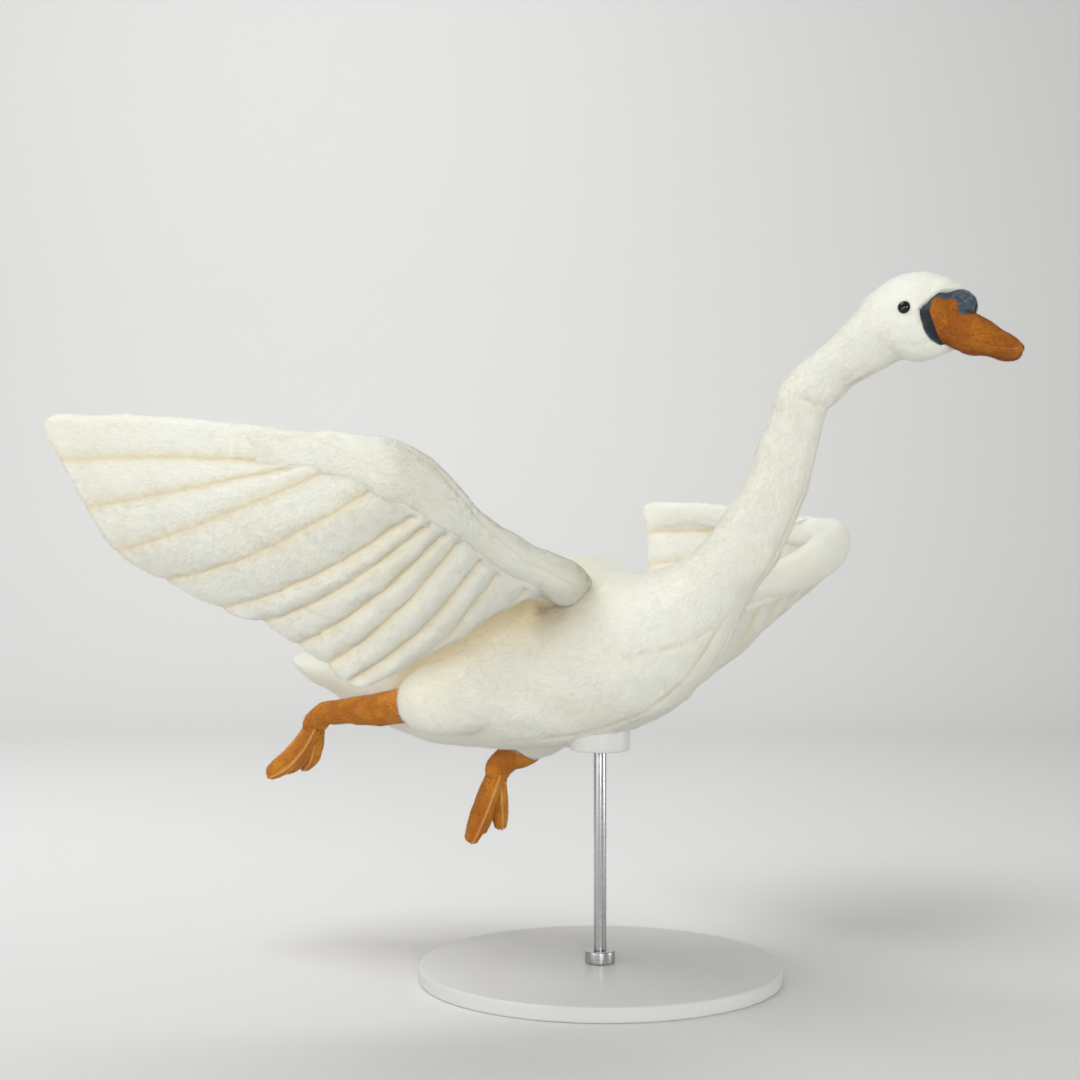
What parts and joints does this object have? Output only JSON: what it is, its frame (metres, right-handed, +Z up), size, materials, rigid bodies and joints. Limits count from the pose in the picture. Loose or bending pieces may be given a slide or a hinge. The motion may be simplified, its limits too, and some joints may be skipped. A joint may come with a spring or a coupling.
{
  "type": "plush toy swan on display stand",
  "caption": "Stuffed plush swan in a flying pose, wings raised and neck stretched forward, held over a round flat base by one short rod.",
  "frame": {"origin": "centre of the stand base's underside", "axes": "+X is the heading of the bill, +Y the bird's left wing, +Z up"},
  "size_m": [0.6725, 0.7469, 0.5433],
  "materials": {
    "white_plush": "warm white short-pile plush",
    "ginger_plush": "ginger brown velvet-like short plush",
    "slate_plush": "dark slate blue short plush",
    "eye": "polished black dome",
    "stand_paint": "satin pale grey paint",
    "stand_steel": "fine brushed steel"
  },
  "bodies": {
    "root": {"tail": "white_plush", "trunk": "white_plush", "neck_lower": "white_plush", "neck_middle": "white_plush", "neck_upper": "white_plush", "head": "white_plush", "thigh_left": "white_plush", "thigh_right": "white_plush", "wing_left_arm_edge": "white_plush", "wing_left_hand_edge": "white_plush", "wing_left_arm_panel": "white_plush", "wing_left_hand_panel": "white_plush", "wing_right_arm_edge": "white_plush", "wing_right_hand_edge": "white_plush", "wing_right_arm_panel": "white_plush", "wing_right_hand_panel": "white_plush", "bill_upper": "ginger_plush", "bill_lower": "ginger_plush", "leg_left": "ginger_plush", "leg_right": "ginger_plush", "foot_left": "ginger_plush", "foot_right": "ginger_plush", "face_patch": "slate_plush", "eye_left": "eye", "eye_right": "eye", "stand_base": "stand_paint", "stand_saddle": "stand_paint", "stand_collar": "stand_steel", "stand_rod": "stand_steel"}
  },
  "joints": []
}
